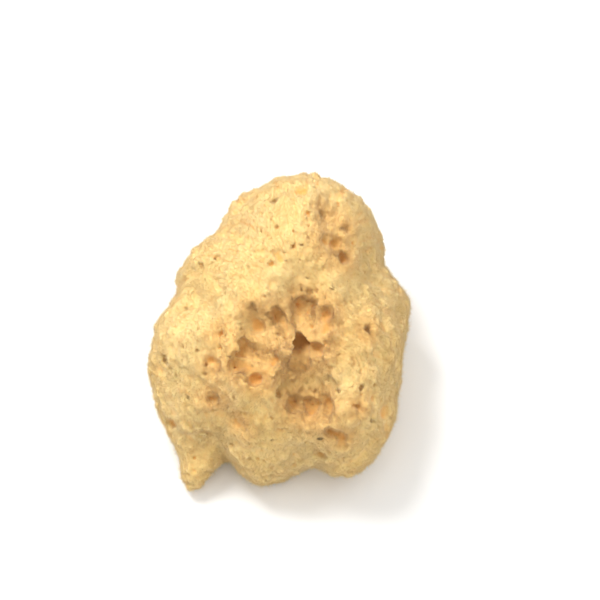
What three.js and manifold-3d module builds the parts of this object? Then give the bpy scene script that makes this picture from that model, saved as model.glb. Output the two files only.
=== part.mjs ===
// A natural bath sponge: one lobed mass, cut flat where it left the rock, lying on that cut.
// Millimetres, +Z up, +Y towards the narrow crown. The origin is on the cut face, under the middle
// of the bounding box.
import * as THREE from "three";
import { ImprovedNoise } from "three/addons/math/ImprovedNoise.js";
import { mergeVertices } from "three/addons/utils/BufferGeometryUtils.js";
import Module from "manifold-3d";

// Driving dimensions of the finished sponge.
const width = 84;
const length = 97;
const height = 64;

// How the surface is drawn: rays leave the heart, and the skin is where each one leaves the mass.
const heart = new THREE.Vector3(0, -2, 24);
const skinDetail = 17;
const farthest = 95;
const nearest = 4;
const rayStep = 1.5;
const halvings = 12;

// The lobes that grew together, each an ellipsoid, with the width of the soft valley between two.
const valley = 7;
const lobes = [
  { part: "heart", at: [2, -3, 22], radii: [33, 39, 34] },
  { part: "crown", at: [8, 19, 33], radii: [24, 26, 27] },
  { part: "crown tip", at: [2, 35, 25], radii: [12, 13, 17] },
  { part: "left crown lobe", at: [-9, 28, 27], radii: [12, 12, 16] },
  { part: "right shoulder", at: [21, 24, 25], radii: [15, 16, 20] },
  { part: "left shoulder", at: [-18, 10, 26], radii: [16, 16, 22] },
  { part: "left flank", at: [-25, -12, 20], radii: [18, 17, 24] },
  { part: "left front lobe", at: [-25, -26, 15], radii: [14, 12, 18] },
  { part: "right knob", at: [32, 6, 20], radii: [12, 12, 17] },
  { part: "right flank", at: [26, -11, 20], radii: [14, 22, 24] },
  { part: "right front lobe", at: [21, -30, 19], radii: [16, 17, 22] },
  { part: "front lobe", at: [-4, -37, 13], radii: [13, 12, 17] },
  { part: "left toe", at: [-27, -42, 5], radii: [5, 7, 8] },
];

// Hollows where the big canals open, each a sphere let into the skin.
const lip = 4;
const hollows = [
  { part: "main canal mouth", at: [8, -9, 58], radius: 10 },
  { part: "left canal mouth", at: [-6, -19, 54], radius: 9 },
  { part: "lower cleft", at: [9, -33, 44], radius: 9 },
  { part: "crown canal mouth", at: [19, 20, 60], radius: 6.5 },
];

// Uneven growth: long swells and short knobs on the skin.
const growth = [
  { every: 26, rise: 1.6 },
  { every: 11, rise: 0.9 },
];

const noise = new ImprovedNoise();

// About how far a point is outside an ellipsoid, in millimetres.
function outside(point, { at, radii }) {
  const x = (point.x - at[0]) / radii[0];
  const y = (point.y - at[1]) / radii[1];
  const z = (point.z - at[2]) / radii[2];
  const reach = Math.hypot(x, y, z);
  const steepness = Math.hypot(x / radii[0], y / radii[1], z / radii[2]);
  return (reach * (reach - 1)) / Math.max(steepness, 1e-6);
}

// The smaller of two distances, rounded where they meet.
function blend(a, b, soft) {
  const share = Math.max(soft - Math.abs(a - b), 0) / soft;
  return Math.min(a, b) - (share * share * soft) / 4;
}

// Negative inside the sponge, positive outside.
function skin(point) {
  let depth = lobes.map((lobe) => outside(point, lobe)).reduce((a, b) => blend(a, b, valley));
  for (const { every, rise } of growth) {
    depth -= rise * noise.noise(point.x / every, point.y / every, point.z / every);
  }
  for (const { at, radius } of hollows) {
    const clear = radius - point.distanceTo(new THREE.Vector3(...at));
    depth = -blend(-depth, -clear, lip);
  }
  return depth;
}

// Where a ray from the heart leaves the sponge for the last time.
function reach(direction) {
  const at = (distance) => skin(heart.clone().addScaledVector(direction, distance));
  let out = farthest;
  while (out > nearest && at(out) > 0) out -= rayStep;
  let inside = out;
  let beyond = out + rayStep;
  for (let i = 0; i < halvings; i++) {
    const middle = (inside + beyond) / 2;
    if (at(middle) > 0) beyond = middle;
    else inside = middle;
  }
  return inside;
}

// A ball of triangles with every corner moved out to the skin.
function lobedBody() {
  const ball = new THREE.IcosahedronGeometry(1, skinDetail);
  ball.deleteAttribute("normal");
  ball.deleteAttribute("uv");
  const body = mergeVertices(ball, 1e-4);
  const corners = body.getAttribute("position");
  const direction = new THREE.Vector3();
  for (let i = 0; i < corners.count; i++) {
    direction.fromBufferAttribute(corners, i).normalize();
    const corner = heart.clone().addScaledVector(direction, reach(direction));
    corners.setXYZ(i, corner.x, corner.y, corner.z);
  }
  return body;
}

const wasm = await Module();
wasm.setup();

function solidOf(geometry) {
  return new wasm.Manifold(
    new wasm.Mesh({
      numProp: 3,
      vertProperties: geometry.getAttribute("position").array,
      triVerts: new Uint32Array(geometry.index.array),
    }),
  );
}

// The flat cut: everything below the rock face is taken away.
function cutFlat(body) {
  const rock = new THREE.BoxGeometry(4 * width, 4 * length, height);
  rock.translate(0, 0, -height / 2);
  rock.deleteAttribute("normal");
  rock.deleteAttribute("uv");
  const kept = solidOf(body).subtract(solidOf(mergeVertices(rock))).getMesh();
  const cut = new THREE.BufferGeometry();
  cut.setAttribute("position", new THREE.BufferAttribute(new Float32Array(kept.vertProperties), 3));
  cut.setIndex(new THREE.BufferAttribute(new Uint32Array(kept.triVerts), 1));
  return cut;
}

// Brings the cut body to its exact size, with the origin under its middle.
function sized(geometry) {
  geometry.computeBoundingBox();
  const box = geometry.boundingBox;
  const middle = box.getCenter(new THREE.Vector3());
  const size = box.getSize(new THREE.Vector3());
  geometry.translate(-middle.x, -middle.y, -box.min.z);
  geometry.scale(width / size.x, length / size.y, height / size.z);
  geometry.computeVertexNormals();
  return geometry;
}

const spongin = new THREE.MeshStandardMaterial({ color: 0xefc47c, roughness: 0.95, metalness: 0 });

const sponge = new THREE.Mesh(sized(cutFlat(lobedBody())), spongin);
sponge.name = "sponge";

const seaSponge = new THREE.Group();
seaSponge.add(sponge);

export default seaSponge;
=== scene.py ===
import math

import bmesh
import bpy
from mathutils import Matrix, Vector
from mathutils.bvhtree import BVHTree


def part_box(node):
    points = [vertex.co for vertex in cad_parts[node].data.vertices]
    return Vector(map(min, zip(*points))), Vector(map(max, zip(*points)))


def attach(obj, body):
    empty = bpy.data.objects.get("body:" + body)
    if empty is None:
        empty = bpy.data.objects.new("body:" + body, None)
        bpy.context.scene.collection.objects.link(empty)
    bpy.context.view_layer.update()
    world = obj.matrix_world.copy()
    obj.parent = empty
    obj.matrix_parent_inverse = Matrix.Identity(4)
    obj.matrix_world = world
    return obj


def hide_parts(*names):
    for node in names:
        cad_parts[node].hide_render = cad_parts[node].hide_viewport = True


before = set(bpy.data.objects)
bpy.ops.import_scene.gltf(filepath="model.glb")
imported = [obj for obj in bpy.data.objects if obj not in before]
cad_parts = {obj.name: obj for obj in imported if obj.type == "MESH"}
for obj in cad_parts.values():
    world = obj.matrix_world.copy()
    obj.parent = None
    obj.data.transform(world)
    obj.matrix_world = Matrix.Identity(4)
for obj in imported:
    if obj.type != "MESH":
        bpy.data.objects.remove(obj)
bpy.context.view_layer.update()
mm = 0.001
noiseGain = 2.6  # what makes a noise texture, less a half, run from about -1 to 1


# One output of a node tree: arithmetic on it adds Math nodes, and node() adds any other kind
class Wire:
    def __init__(self, tree, socket=None):
        self.tree = tree
        self.socket = socket

    def node(self, kind, settings=None, inputs=None, output=0):
        made = self.tree.nodes.new(kind)
        for name, value in (settings or {}).items():
            setattr(made, name, value)
        for key, value in (inputs or {}).items():
            if isinstance(value, Wire):
                self.tree.links.new(value.socket, made.inputs[key])
            else:
                made.inputs[key].default_value = value
        return Wire(self.tree, made.outputs[output])

    # another output of the same node
    def other(self, output):
        return Wire(self.tree, self.socket.node.outputs[output])

    def maths(self, operation, *values):
        inputs = dict(enumerate((self, *values)))
        return self.node("ShaderNodeMath", {"operation": operation}, inputs)

    def vector(self, operation, *values, output=0):
        inputs = dict(enumerate((self, *values)))
        return self.node("ShaderNodeVectorMath", {"operation": operation}, inputs, output)

    def __add__(self, other):
        return self.maths("ADD", other)

    def __sub__(self, other):
        return self.maths("SUBTRACT", other)

    def __mul__(self, other):
        return self.maths("MULTIPLY", other)

    def __truediv__(self, other):
        return self.maths("DIVIDE", other)

    def __rsub__(self, other):
        return self * -1 + other

    __radd__ = __add__
    __rmul__ = __mul__

    # 0 below low, 1 above high, and a soft step between them
    def step(self, low, high):
        inputs = {0: self, 1: low, 2: high, 3: 0.0, 4: 1.0}
        return self.node("ShaderNodeMapRange", {"interpolation_type": "SMOOTHSTEP"}, inputs)

    # the larger of two, rounded where they meet
    def joined(self, other, soft):
        return self.maths("SMOOTH_MAX", other, soft)

    # noise from about -1 to 1
    def noise(self, every, detail=2.0, rough=0.5):
        inputs = {"Vector": self, "Scale": 1 / every, "Detail": detail, "Roughness": rough}
        return (self.node("ShaderNodeTexNoise", None, inputs) - 0.5) * noiseGain

    # places pushed about, so that nothing stays round or straight
    def stirred(self, every, push):
        inputs = {"Vector": self, "Scale": 1 / every, "Detail": 1.0}
        drift = self.node("ShaderNodeTexNoise", None, inputs, "Color").vector("SUBTRACT", (0.5,) * 3)
        return drift.vector("MULTIPLY_ADD", (2 * push,) * 3, self)

    # distance to the nearest of many scattered points, and a random number that goes with that point
    def scattered(self, every):
        inputs = {"Vector": self, "Scale": 1 / every}
        near = self.node("ShaderNodeTexVoronoi", None, inputs, "Distance")
        chance = near.node("ShaderNodeSeparateXYZ", None, {0: near.other("Color")})
        return near * every, chance, near.other("Position")


def newTree(name):
    tree = bpy.data.node_groups.new(name, "GeometryNodeTree")
    for way in ("INPUT", "OUTPUT"):
        tree.interface.new_socket("Geometry", in_out=way, socket_type="NodeSocketGeometry")
    return tree


def addObject(name, data):
    made = bpy.data.objects.new(name, data)
    bpy.context.scene.collection.objects.link(made)
    return made


# Applies an object's modifiers
def settle(made):
    seen = made.evaluated_get(bpy.context.evaluated_depsgraph_get())
    mesh = bpy.data.meshes.new_from_object(seen)
    made.modifiers.clear()
    made.data = mesh


# The mesh that a geometry node tree is run on
def groupInput(tree):
    return Wire(tree, tree.nodes.new("NodeGroupInput").outputs[0])


# Runs a geometry node tree on an object's mesh, once, and puts what it makes in place of the mesh
def grow(made, tree, geometry):
    end = tree.nodes.new("NodeGroupOutput")
    tree.links.new(geometry.socket, end.inputs[0])
    made.modifiers.new("grow", "NODES").node_group = tree
    settle(made)
    bpy.data.node_groups.remove(tree)


# The skin that the sponge grew to: a merged copy of the frame's node, and a finder of places on it
def copySkin():
    bm = bmesh.new()
    bm.from_mesh(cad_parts["sponge"].data)
    bmesh.ops.remove_doubles(bm, verts=bm.verts, dist=0.01 * mm)
    mesh = bpy.data.meshes.new("skin")
    bm.to_mesh(mesh)
    finder = BVHTree.FromBMesh(bm)
    bm.free()
    return mesh, finder


# Openings of the canals, in mm. at is near the skin, and into is the way it runs, or None for straight in
openings = [
    {"part": "torn hollow", "at": (7, -20, 54), "radius": 6.4, "deep": 3, "into": (0, 0.6, -0.8)},
    {"part": "torn hollow, left", "at": (-1, -25, 51), "radius": 5.0, "deep": 2, "into": (-0.4, 0.5, -0.8)},
    {"part": "torn hollow, right", "at": (14, -20, 52), "radius": 5.4, "deep": 2, "into": (0.1, 0.6, -0.8)},
    {"part": "torn hollow, lower", "at": (7, -28, 46), "radius": 5.4, "deep": 3, "into": (0, 0.6, -0.8)},
    {"part": "under the ledge", "at": (8, -15, 53), "radius": 5.4, "deep": 10, "into": (-0.1, 1, -0.3)},
    {"part": "under the ledge, right", "at": (13, -16, 53), "radius": 4.2, "deep": 8, "into": (0.1, 1, -0.3)},
    {"part": "under the ledge, left", "at": (3, -16, 52), "radius": 4.0, "deep": 8, "into": (-0.4, 1, -0.3)},
    {"part": "left canal", "at": (-5, -27, 50), "radius": 4.6, "deep": 10, "into": (-0.9, 0.3, -0.5)},
    {"part": "left canal, upper", "at": (-5, -22, 49), "radius": 3.8, "deep": 8, "into": (-0.9, 0.5, -0.4)},
    {"part": "left canal, lower", "at": (-3, -31, 50), "radius": 3.4, "deep": 7, "into": (-0.8, 0.4, -0.5)},
    {"part": "middle canal", "at": (7, -24, 48), "radius": 4.2, "deep": 9, "into": (-0.2, 1, -0.3)},
    {"part": "middle canal, right", "at": (10, -24, 49), "radius": 3.2, "deep": 6, "into": (0.1, 0.9, -0.4)},
    {"part": "cleft", "at": (9, -35, 38), "radius": 4.2, "deep": 4, "into": (0, 0.8, -0.6)},
    {"part": "cleft, left", "at": (5, -34, 38), "radius": 3.2, "deep": 4, "into": (-0.2, 0.8, -0.6)},
    {"part": "cleft, right", "at": (13, -35, 39), "radius": 3.6, "deep": 4, "into": (0.3, 0.8, -0.5)},
    {"part": "front hole", "at": (15, -42, 35), "radius": 2.4, "deep": 3, "into": None},
    {"part": "front hole, right", "at": (18, -43, 34), "radius": 2.2, "deep": 3, "into": None},
    {"part": "crown hole", "at": (14, 11, 60), "radius": 2.4, "deep": 3, "into": (0, 0.5, -0.9)},
    {"part": "crown hole, middle", "at": (17, 10, 59), "radius": 2.6, "deep": 4, "into": (0, 0.5, -0.9)},
    {"part": "crown hole, lower", "at": (17, 8, 58), "radius": 2.2, "deep": 3, "into": (0, 0.4, -0.9)},
    {"part": "crown hole, right", "at": (20, 7, 56), "radius": 2.2, "deep": 4, "into": None},
    {"part": "small", "at": (13, 20, 59), "radius": 1.5, "deep": 4, "into": None},
    {"part": "small", "at": (20, 17, 57), "radius": 1.4, "deep": 3, "into": None},
    {"part": "small", "at": (27, -13, 48), "radius": 1.6, "deep": 3, "into": None},
    {"part": "small", "at": (24, -37, 42), "radius": 1.3, "deep": 3, "into": None},
    {"part": "dimple", "at": (-19, -24, 44), "radius": 2.6, "deep": 1.5, "into": None},
    {"part": "dimple", "at": (-20, -31, 36), "radius": 3.0, "deep": 1.5, "into": None},
    {"part": "dimple", "at": (-8, -10, 55), "radius": 2.4, "deep": 1, "into": None},
    {"part": "dimple", "at": (-18, -15, 50), "radius": 2.2, "deep": 1, "into": None},
    {"part": "dimple", "at": (-12, -37, 32), "radius": 2.2, "deep": 1, "into": None},
]

canalLook = {
    "back": 0.4,  # how far outside its mouth a canal starts, as a share of its radius
    "taper": 0.3,  # how much narrower it is at its end
    "soft": 1.2,  # mm of rounding where two canals meet
}

# Fine ribs on the crown, which fan out from the fold above the torn hollow
ribLook = {
    "from": (6, -4, 44),
    "radius": 30,
    "start": (-2, 16),  # mm past the fold, between which the ribs set in
    "every": 1.3,
    "long": 12,
    "rise": 0.6,
    "comb": 1.8,  # how far the strands lean along the ribs
}


# The ribs at a place, from about -1 to 1, how much of them there is, and the way they run
def ribs(place):
    look = ribLook
    offset = place.vector("SUBTRACT", look["from"])
    split = offset.node("ShaderNodeSeparateXYZ", None, {0: offset})
    across = split.maths("ARCTAN2", split.other("Y")) * (look["radius"] / look["every"])
    along = offset.vector("LENGTH", output="Value") / look["long"]
    spot = across.node("ShaderNodeCombineXYZ", None, {0: across, 1: along})
    share = split.other("Y").step(*look["start"])
    return spot.noise(1) * share, share, offset.vector("NORMALIZE")


fleshLook = {
    "grain": 0.55,  # mm between the places where the flesh is worked out
    "inset": 1.1,  # mm from the skin down to the flesh, which is the room that the nap has
    "cut": 0.2,  # mm above the skin's flat underside where the flesh is cut, before it is set down there
    "triangles": 192000,
    "around": 60,  # rounds of averaging that make the flesh around a point
    "swell": {"every": 7, "rise": 1.4},
    "lump": {"every": 3.5, "rise": 0.32, "gain": 4, "stir": (5, 1.1)},
    "felt": {"every": 1.4, "rise": 0.32, "detail": 2.0, "rough": 0.6},
    "dimple": {"every": 6.5, "radius": 2.3, "rare": 0.35, "dish": 0.7, "soft": 1.4, "stir": (4, 0.8)},
    "pits": {
        "sizes": [{"every": 2.2, "radius": 0.7, "rare": 0.35}, {"every": 4.6, "radius": 1.2, "rare": 0.5}],
        "floor": (-4.0, -1.8),  # mm above the skin, between which the pits die out
        "soft": 0.5,
        "stir": (2.5, 0.5),
    },
    "pore": {"every": 3.2, "least": 0.4, "spread": 0.8, "soft": 0.4},
    "poreStart": (-2.5, 0.5),  # mm inside a canal, between which the pores set in
    "ragged": [(2.2, 0.9), (6, 1.8)],  # how the canals' edges are torn: every so many mm, and how far
    "mouth": 0.8,  # mm of rounding where a canal opens
}


# Where each canal starts, and the way and distance it runs, in mm
def canalRuns(finder):
    for each in openings:
        mouth, normal, _, _ = finder.find_nearest(Vector(each["at"]) * mm)
        way = Vector(each["into"]).normalized() if each["into"] else -normal
        yield mouth / mm - way * each["radius"] * canalLook["back"], way * each["deep"], each["radius"]


# How far inside the canals a place is, in mm
def canalDepth(place, finder):
    depth = None
    for start, along, radius in canalRuns(finder):
        offset = place.vector("SUBTRACT", tuple(start))
        share = offset.vector("DOT_PRODUCT", tuple(along), output="Value") / along.length_squared
        share = share.maths("MAXIMUM", 0.0).maths("MINIMUM", 1.0)
        run = share.node("ShaderNodeCombineXYZ", None, {0: share, 1: share, 2: share})
        away = offset.vector("DISTANCE", run.vector("MULTIPLY", tuple(along)), output="Value")
        inside = radius * (1 - canalLook["taper"] * share) - away
        depth = inside if depth is None else depth.joined(inside, canalLook["soft"])
    return depth


# How far outside the flesh a place is, in mm, from how far it is outside the skin
def outsideFlesh(place, outside, finder):
    look = fleshLook["swell"]
    swell = place.noise(look["every"]) * look["rise"]
    look = fleshLook["lump"]
    lump, _, _ = place.stirred(*look["stir"]).scattered(look["every"])
    lump = (lump / look["every"] - 0.5) * look["gain"] * look["rise"]
    look = fleshLook["felt"]
    felt = place.noise(look["every"], look["detail"], look["rough"]) * look["rise"]
    rib, _, _ = ribs(place)
    depth = outside + fleshLook["inset"] + swell + lump + felt + rib * ribLook["rise"]

    look = fleshLook["dimple"]
    dimple, chance, _ = place.stirred(*look["stir"]).scattered(look["every"])
    dish = chance.step(look["rare"], 1.0) * look["radius"] - dimple
    depth = depth.joined(dish * look["dish"], look["soft"])

    look = fleshLook["pits"]
    near = place.stirred(*look["stir"])
    shallow = outside.step(*look["floor"])
    for pit in look["sizes"]:
        away, chance, _ = near.scattered(pit["every"])
        depth = depth.joined(chance.step(pit["rare"], 1.0) * shallow * pit["radius"] - away, look["soft"])

    torn = place
    for tear in fleshLook["ragged"]:
        torn = torn.stirred(*tear)
    canal = canalDepth(torn, finder)
    look = fleshLook["pore"]
    away, chance, _ = torn.scattered(look["every"])
    radius = chance * look["spread"] + look["least"]
    pore = canal.step(*fleshLook["poreStart"]) * radius - away
    return depth.joined(pore, look["soft"]).joined(canal, fleshLook["mouth"])


# Turns the body from the skin into flesh, worked out on a grid of places inside the skin's box
def growFlesh(body, finder):
    tree = newTree("flesh")
    shape = groupInput(tree)
    position = shape.node("GeometryNodeInputPosition")
    closest = position.node("GeometryNodeProximity", None, {0: shape}, "Position")
    normal = position.node("GeometryNodeInputNormal")
    sampled = {0: shape, "Value": normal}
    facing = position.node("GeometryNodeSampleNearestSurface", {"data_type": "FLOAT_VECTOR"}, sampled)
    side = position.vector("SUBTRACT", closest).vector("DOT_PRODUCT", facing, output="Value")
    outside = closest.other("Distance") / mm * side.maths("SIGN")
    place = position.vector("MULTIPLY", (1 / mm,) * 3)
    depth = outsideFlesh(place, outside, finder)

    low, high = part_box("sponge")
    low, high = low - Vector((mm,) * 3), high + Vector((mm,) * 3)
    grid = {"Density": depth * -1, "Background": -1.0, "Min": low, "Max": high}
    for axis, size in zip("XYZ", high - low):
        grid["Resolution " + axis] = int(size / (fleshLook["grain"] * mm))
    volume = depth.node("GeometryNodeVolumeCube", None, grid)
    solid = {"Volume": volume, "Threshold": 0.0}
    grow(body, tree, volume.node("GeometryNodeVolumeToMesh", None, solid))


# The points of a mesh's biggest connected part
def mainPart(bm):
    left = set(bm.verts)
    biggest = set()
    while left:
        first = left.pop()
        part = {first}
        waiting = [first]
        while waiting:
            for edge in waiting.pop().link_edges:
                for vert in edge.verts:
                    if vert in left:
                        left.discard(vert)
                        part.add(vert)
                        waiting.append(vert)
        if len(part) > len(biggest):
            biggest = part
    return biggest


# Loose crumbs go, and the cut face is made flat and closed
def trimFlesh(mesh):
    bm = bmesh.new()
    bm.from_mesh(mesh)
    kept = mainPart(bm)
    bmesh.ops.delete(bm, geom=[v for v in bm.verts if v not in kept], context="VERTS")
    everything = bm.verts[:] + bm.edges[:] + bm.faces[:]
    cut = fleshLook["cut"] * mm
    justAbove = 1.001 * cut
    bmesh.ops.bisect_plane(
        bm, geom=everything, plane_co=(0, 0, cut), plane_no=(0, 0, 1), clear_inner=True
    )
    bmesh.ops.holes_fill(bm, edges=[e for e in bm.edges if e.is_boundary], sides=0)
    for vert in bm.verts:
        if vert.co.z < justAbove:
            vert.co.z = 0
    bmesh.ops.triangulate(bm, faces=bm.faces[:])
    bm.to_mesh(mesh)
    bm.free()


def thinTo(body, triangles):
    thin = body.modifiers.new("thin", "DECIMATE")
    thin.ratio = min(1.0, triangles / len(body.data.polygons))
    settle(body)


# Thinning can leave a point just under the cut
def levelCut(mesh):
    for vert in mesh.vertices:
        vert.co.z = max(vert.co.z, 0)


# How far below the skin each point lies, in mm, for the colour
def storeDepth(mesh, finder):
    depth = mesh.attributes.new("depth", "FLOAT", "POINT")
    for vert, value in zip(mesh.vertices, depth.data):
        value.value = finder.find_nearest(vert.co)[3] / mm


def storeValue(geometry, name, value):
    stored = {"Geometry": geometry, "Name": name, "Value": value}
    return value.node("GeometryNodeStoreNamedAttribute", {"data_type": "FLOAT"}, stored)


# For the colour: how much deeper than the flesh around it each point lies, which tells a pit from a bump,
# and how far inside a canal it is
def storeHollows(body, finder):
    tree = newTree("hollows")
    shape = groupInput(tree)
    depth = shape.node("GeometryNodeInputNamedAttribute", {"data_type": "FLOAT"}, {"Name": "depth"})
    about = {"Value": depth, "Iterations": fleshLook["around"]}
    about = depth.node("GeometryNodeBlurAttribute", {"data_type": "FLOAT"}, about)
    place = shape.node("GeometryNodeInputPosition").vector("MULTIPLY", (1 / mm,) * 3)
    shape = storeValue(shape, "hollow", depth - about)
    grow(body, tree, storeValue(shape, "canal", canalDepth(place, finder)))


def makeFlesh():
    skin, finder = copySkin()
    print("skin copied:", len(skin.polygons), "faces")
    body = addObject("sponge_body", skin)
    growFlesh(body, finder)
    print("flesh grown:", len(body.data.polygons), "faces")
    trimFlesh(body.data)
    thinTo(body, fleshLook["triangles"])
    levelCut(body.data)
    storeDepth(body.data, finder)
    storeHollows(body, finder)
    body.data.shade_smooth()
    print("flesh trimmed:", len(body.data.polygons), "triangles")
    return body


napLook = {
    "parts": ["nap_left", "nap_front_left", "nap_front_right", "nap_right", "nap_crown"],
    "strands": 290000,  # if the cut and the canals were covered too
    "radius": 0.045,
    "length": 1.1,
    "clump": 1.1,
    "gather": 0.5,
    "untidy": 0.5,
    "stray": 1.3,  # how much longer the longest strands are
    "fewStray": 10.0,  # the higher, the fewer of those
    "strayWide": 0.4,  # how much thicker those are
    "least": 0.7,  # the shortest strands, as a share of the length
    "uneven": {"every": 3.5, "share": 0.3},  # how the length changes from place to place
    "stir": (3, 0.5),
    "base": (0.4, 1.2),  # mm above the cut, between which the strands set in
    "deepest": 4.5,  # mm below the skin where the strands stop
    "pits": (0.05, 0.5),  # how much deeper than the flesh around it a pit is, where the strands give way
    "seed": 7,
}


# One strand, 1 mm long: three sides that run to a point
def makeStrand():
    bm = bmesh.new()
    radius = napLook["radius"] * mm
    bmesh.ops.create_cone(bm, segments=3, radius1=radius, radius2=0, depth=mm, cap_ends=True)
    bmesh.ops.translate(bm, verts=bm.verts, vec=(0, 0, mm / 2))
    bmesh.ops.remove_doubles(bm, verts=bm.verts, dist=0.001 * mm)
    mesh = bpy.data.meshes.new("strand")
    bm.to_mesh(mesh)
    bm.free()
    return addObject("strand", mesh)


# Strands that stand on the flesh in small tufts, on one of the sectors round the upright axis
def growNap(piece, strand, density, sector, sectors):
    look = napLook
    tree = newTree("nap")
    position = Wire(tree).node("GeometryNodeInputPosition")
    split = position.node("ShaderNodeSeparateXYZ", None, {0: position})
    turn = split.other("Y").maths("ARCTAN2", split) / (2 * math.pi) + 1
    here = (turn * sectors).maths("FLOOR").maths("MODULO", float(sectors))
    here = here.maths("COMPARE", float(sector), 0.5)
    depth = position.node("GeometryNodeInputNamedAttribute", {"data_type": "FLOAT"}, {"Name": "depth"})
    shallow = 1 - depth.step(look["deepest"] / 2, look["deepest"])
    hollow = position.node("GeometryNodeInputNamedAttribute", {"data_type": "FLOAT"}, {"Name": "hollow"})
    level = 1 - hollow.step(*look["pits"])
    above = split.other("Z").step(*(height * mm for height in look["base"]))
    cover = here * shallow * above * level * density
    spread = {"Mesh": groupInput(tree), "Density": cover, "Seed": look["seed"]}
    points = position.node("GeometryNodeDistributePointsOnFaces", None, spread)

    place = position.vector("MULTIPLY", (1 / mm,) * 3)
    _, _, tuft = place.stirred(*look["stir"]).scattered(look["clump"])
    gather = tuft.vector("SUBTRACT", place).vector("MULTIPLY", (look["gather"] / look["clump"],) * 3)
    chance = {0: (-look["untidy"],) * 3, 1: (look["untidy"],) * 3}
    bent = position.node("FunctionNodeRandomValue", {"data_type": "FLOAT_VECTOR"}, chance)
    _, share, outwards = ribs(place)
    comb = share.node("ShaderNodeCombineXYZ", None, {0: share, 1: share, 2: share})
    comb = comb.vector("MULTIPLY", outwards).vector("MULTIPLY", (ribLook["comb"],) * 3)
    lean = points.other("Normal").vector("ADD", gather).vector("ADD", bent).vector("ADD", comb)
    aim = {"Rotation": points.other("Rotation"), "Vector": lean}
    turned = position.node("FunctionNodeAlignRotationToVector", {"axis": "Z"}, aim)
    rank = position.node("FunctionNodeRandomValue", {"data_type": "FLOAT"}, {2: 0.0, 3: 1.0}, 1)
    stray = rank.maths("POWER", look["fewStray"])
    uneven = place.noise(look["uneven"]["every"]) * look["uneven"]["share"] + 1
    tall = (look["least"] + stray * look["stray"]) * uneven * look["length"]
    wide = 1 + stray * look["strayWide"]
    size = position.node("ShaderNodeCombineXYZ", None, {0: wide, 1: wide, 2: tall})
    source = {"Object": strand, "As Instance": True}
    shape = position.node("GeometryNodeObjectInfo", None, source, "Geometry")
    copies = {"Points": points, "Instance": shape, "Rotation": turned, "Scale": size}
    placed = position.node("GeometryNodeInstanceOnPoints", None, copies)
    real = placed.node("GeometryNodeRealizeInstances", None, {0: placed})
    over = {0: real, "Position": position.vector("MAXIMUM", (-1, -1, 0))}  # none below the cut
    grow(piece, tree, real.node("GeometryNodeSetPosition", None, over))


def makeNap(body):
    strand = makeStrand()
    density = napLook["strands"] / sum(face.area for face in body.data.polygons)
    pieces = []
    for sector, name in enumerate(napLook["parts"]):
        piece = addObject(name, body.data.copy())
        growNap(piece, strand, density, sector, len(napLook["parts"]))
        piece.data.shade_smooth()
        piece.data.calc_loop_triangles()
        print(name, "grown:", len(piece.data.loop_triangles), "triangles")
        pieces.append(piece)
    bpy.data.objects.remove(strand)
    return pieces


def blended(share, first, second):
    inputs = {0: share, 6: first, 7: second}
    return share.node("ShaderNodeMix", {"data_type": "RGBA"}, inputs, 2)


# Colours of the spongin, and the orange brown shade painted into its pits and canals. from is the span of its
# value over which a tint sets in, and share is how much of it shows there
sponginLook = {
    "pale": {"every": 16, "from": (-0.8, 0.8), "colours": [(0.93, 0.665, 0.25, 1), (0.95, 0.715, 0.32, 1)]},
    "blotch": {"every": 5, "detail": 4.0, "rough": 0.6, "from": (0.0, 1.0), "share": 0.65},
    "rib": {"from": (0.0, 0.7), "share": 0.7},
    # around: a warm tint painted as shade on the skin round the canals
    "around": {"every": 4, "detail": 2.0, "uneven": 1.5, "from": (-7, 0), "share": 0.45},
    "warm": (0.90, 0.49, 0.13, 1),
    # pit: painted shade, orange brown where the flesh lies deeper than around it
    "pit": {"every": 1.5, "detail": 2.0, "uneven": 0.25, "from": (0.1, 1.3), "share": 0.85},
    "pitShadeColour": (0.80, 0.41, 0.10, 1),
    # torn: painted shade, dark orange brown inside the canals
    "torn": {"every": 2.2, "detail": 3.0, "uneven": 0.9, "from": (-1.4, 1.6), "share": 0.95},
    "canalShadeColour": (0.46, 0.23, 0.058, 1),
    # deep: painted shade, darkest brown where the flesh lies deep below the skin
    "deep": (3.5, 9.0),  # mm below the skin
    "deepShadeColour": (0.46, 0.215, 0.05, 1),
    "grain": {"every": 0.5, "detail": 3.0, "rough": 0.7, "strength": 0.6, "high": 0.25},
    "shader": {
        "Roughness": 0.9,
        "Sheen Weight": 0.2,
        "Subsurface Weight": 0.15,
        "Subsurface Radius": (1, 0.5, 0.25),
        "Subsurface Scale": 1.5 * mm,
    },
}


# How much of a tint there is where a value has reached its span, with an uneven edge
def tinted(value, place, name):
    look = sponginLook[name]
    uneven = place.noise(look["every"], look["detail"]) * look["uneven"]
    return (value + uneven).step(*look["from"]) * look["share"]
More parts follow.
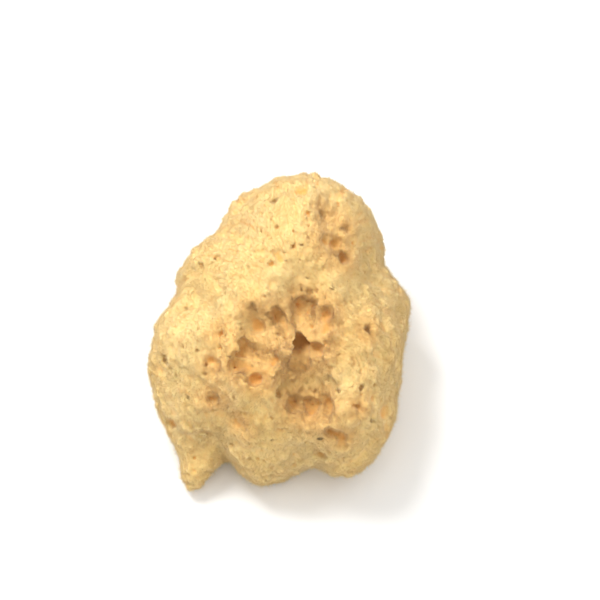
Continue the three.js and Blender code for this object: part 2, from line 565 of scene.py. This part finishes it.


# Spongin: pale gold at the skin, with warmer blotches, and orange brown painted shade down in the pits and
# canals, darkest deep below the skin
def sponginMaterial():
    look = sponginLook
    material = bpy.data.materials.new("spongin")
    material.use_nodes = True
    tree = material.node_tree
    shader = tree.nodes["Principled BSDF"]
    place = Wire(tree).node("ShaderNodeTexCoord", None, None, "Object").vector("MULTIPLY", (1 / mm,) * 3)
    names = ("depth", "hollow", "canal")
    stored = [place.node("ShaderNodeAttribute", {"attribute_name": name}, None, "Fac") for name in names]
    depth, hollow, canal = stored

    pale = look["pale"]
    pale = blended(place.noise(pale["every"]).step(*pale["from"]), *pale["colours"])
    blotch = look["blotch"]
    spots = place.noise(blotch["every"], blotch["detail"], blotch["rough"])
    # warmer blotches of tone, the same warm tint in the rib grooves, and painted shade round the canals
    stainAndShade = spots.step(*blotch["from"]) * blotch["share"]
    rib, _, _ = ribs(place)
    stainAndShade = stainAndShade.maths("MAXIMUM", rib.step(*look["rib"]["from"]) * look["rib"]["share"])
    # the warm tint also paints shade round the canals
    stainAndShade = stainAndShade.maths("MAXIMUM", tinted(canal, place, "around"))
    colour = blended(stainAndShade, pale, look["warm"])
    # painted shade in the pits
    colour = blended(tinted(hollow, place, "pit"), colour, look["pitShadeColour"])
    # painted shade inside the canals
    colour = blended(tinted(canal, place, "torn"), colour, look["canalShadeColour"])
    # painted shade deep below the skin
    colour = blended(depth.step(*look["deep"]), colour, look["deepShadeColour"])
    tree.links.new(colour.socket, shader.inputs["Base Color"])

    for name, value in look["shader"].items():
        shader.inputs[name].default_value = value
    grain = look["grain"]
    height = place.noise(grain["every"], grain["detail"], grain["rough"])
    bump = {"Height": height, "Strength": grain["strength"], "Distance": grain["high"] * mm}
    tree.links.new(height.node("ShaderNodeBump", None, bump).socket, shader.inputs["Normal"])
    return material


studioLook = {
    "middle": (0, 0, 0.02),
    "lamps": {
        "key": {"at": (-0.26, 0.25, 0.64), "size": 0.22, "power": 3.75},
        "fill": {"at": (0.20, -0.10, 0.72), "size": 0.60, "power": 1.15},
    },
    "sky": 0.81,
    "floor": {"half": 3, "colour": (0.9, 0.9, 0.89, 1), "roughness": 0.7},
    "lens": 85,
    "rise": 62,  # degrees that the camera looks down
    "distance": 0.45,
    "target": (0.0061, 0.0076, 0.0272),
}


def makeFloor():
    look = studioLook["floor"]
    bm = bmesh.new()
    bmesh.ops.create_grid(bm, x_segments=1, y_segments=1, size=look["half"])
    mesh = bpy.data.meshes.new("floor")
    bm.to_mesh(mesh)
    bm.free()
    paper = bpy.data.materials.new("floorPaper")
    paper.use_nodes = True
    shader = paper.node_tree.nodes["Principled BSDF"]
    shader.inputs["Base Color"].default_value = look["colour"]
    shader.inputs["Roughness"].default_value = look["roughness"]
    mesh.materials.append(paper)
    addObject("floor", mesh)


def aimAt(made, place, target):
    made.location = place
    made.rotation_euler = (Vector(target) - place).to_track_quat("-Z", "Y").to_euler()


def makeStudio():
    for name, lamp in studioLook["lamps"].items():
        data = bpy.data.lights.new(name, "AREA")
        data.size = lamp["size"]
        data.energy = lamp["power"]
        aimAt(addObject(name, data), Vector(lamp["at"]), studioLook["middle"])
    world = bpy.data.worlds.new("studio")
    world.use_nodes = True
    world.node_tree.nodes["Background"].inputs["Color"].default_value = (1, 1, 1, 1)
    world.node_tree.nodes["Background"].inputs["Strength"].default_value = studioLook["sky"]
    bpy.context.scene.world = world
    bpy.context.scene.view_settings.view_transform = "Standard"


def makeCamera():
    data = bpy.data.cameras.new("camera")
    data.lens = studioLook["lens"]
    camera = addObject("camera", data)
    rise = math.radians(studioLook["rise"])
    back = Vector((0, -math.cos(rise), math.sin(rise))) * studioLook["distance"]
    aimAt(camera, Vector(studioLook["target"]) + back, studioLook["target"])
    bpy.context.scene.camera = camera


body = makeFlesh()
pieces = [body, *makeNap(body)]
spongin = sponginMaterial()
for piece in pieces:
    piece.data.materials.clear()
    piece.data.materials.append(spongin)
    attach(piece, "root")
    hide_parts("sponge")
makeFloor()
makeStudio()
makeCamera()
print("studio set")
